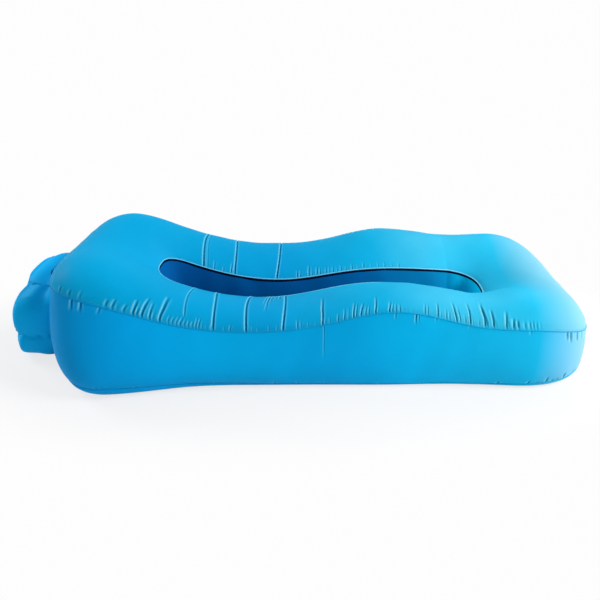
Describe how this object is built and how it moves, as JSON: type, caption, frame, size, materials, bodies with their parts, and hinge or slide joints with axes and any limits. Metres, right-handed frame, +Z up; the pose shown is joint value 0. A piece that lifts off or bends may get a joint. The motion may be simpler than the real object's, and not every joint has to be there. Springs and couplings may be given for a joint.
{
  "type": "inflatable air lounger",
  "caption": "Inflatable fabric air lounger with a raised head, a long open well down the seat, a rolled filling sleeve and a clipped side-release buckle.",
  "frame": {"origin": "on the flat of the base, on its long centre line, 13 mm toward the head from the middle of the whole length", "axes": "+X from the head to the foot, +Y to the far side, +Z up"},
  "size_m": [1.994, 0.9012, 0.3882],
  "materials": {
    "top_fabric": "thin ripstop fabric, sky blue, soft satin sheen",
    "wall_fabric": "thin ripstop fabric, blue, soft satin sheen",
    "slot_fabric": "thin ripstop fabric, deep blue, matt",
    "sleeve_fabric": "thin ripstop fabric, blue, soft satin sheen",
    "roll_fabric": "stiffened hem fabric, dark navy",
    "seam_cord": "sewn seam piping, blue",
    "slot_seam": "sewn seam piping, deep blue",
    "webbing": "woven webbing, dark navy",
    "buckle_plastic": "moulded plastic, black, fine grain"
  },
  "bodies": {
    "chamber": {"top_panel": "top_fabric", "side_wall_near": "wall_fabric", "side_wall_far": "wall_fabric", "bottom_panel": "wall_fabric", "slot_wall": "slot_fabric", "slot_rim_binding": "seam_cord", "slot_base_seam": "slot_seam", "top_seam": "seam_cord", "bottom_seam": "seam_cord", "foot_joint_seam": "seam_cord", "neck_seam_near": "seam_cord", "neck_seam_far": "seam_cord", "filling_sleeve": "sleeve_fabric", "mouth_roll": "roll_fabric", "mouth_strap": "webbing", "buckle_socket": "buckle_plastic", "buckle_plug": "buckle_plastic", "peg_loop": "webbing"},
    "prong_upper": {"plug_prong_upper": "buckle_plastic"},
    "prong_lower": {"plug_prong_lower": "buckle_plastic"}
  },
  "joints": [
    {"name": "prong_squeeze", "type": "hinge", "parent": "chamber", "child": "prong_upper", "pos_m": [-0.972, -0.014, 0.0915], "axis": [-1, 0, 0], "range_deg": [0, 8], "stiffness_Nm_per_rad": 0.5},
    {"name": "prong_squeeze_lower", "type": "hinge", "parent": "chamber", "child": "prong_lower", "pos_m": [-0.972, -0.014, 0.0705], "axis": [1, 0, 0], "range_deg": [0, 8], "stiffness_Nm_per_rad": 0.5}
  ],
  "couplings": [
    {"joint": "prong_squeeze_lower", "follows": "prong_squeeze", "ratio": 1}
  ]
}
